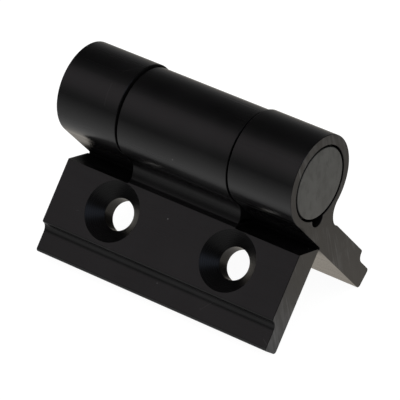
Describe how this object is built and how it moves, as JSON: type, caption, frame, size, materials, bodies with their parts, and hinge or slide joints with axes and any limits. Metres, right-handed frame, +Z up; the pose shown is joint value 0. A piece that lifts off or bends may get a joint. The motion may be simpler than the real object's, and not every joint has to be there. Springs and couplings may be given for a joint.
{
  "type": "spring hinge",
  "caption": "Black aluminium spring hinge: two extruded leaves with countersunk screw holes round a barrel that hides a torsion spring, bearing plugs and an arbor.",
  "frame": {"origin": "on the floor under the middle of the hinge axis, with the hinge standing on the tips of both leaves", "axes": "+X along the hinge axis, +Z up, the front leaf towards -Y and the rear leaf towards +Y"},
  "size_m": [0.06, 0.036, 0.0441],
  "materials": {
    "anodised_leaf": "black anodised, satin",
    "plug_plastic": "moulded acetal, dark grey",
    "arbor_steel": "ground",
    "spring_wire": "drawn spring wire"
  },
  "bodies": {
    "rear_half": {"rear_leaf": "anodised_leaf", "left_plug": "plug_plastic", "right_plug": "plug_plastic", "arbor": "arbor_steel"},
    "front_half": {"front_leaf": "anodised_leaf", "torsion_spring": "spring_wire"}
  },
  "joints": [
    {"name": "leaf_swing", "type": "hinge", "parent": "rear_half", "child": "front_half", "pos_m": [0, 0, 0.03364], "axis": [-1, 0, 0], "range_deg": [0, 190], "stiffness_Nm_per_rad": 0.2, "springref_deg": -40.11, "deforming": ["torsion_spring"]}
  ]
}
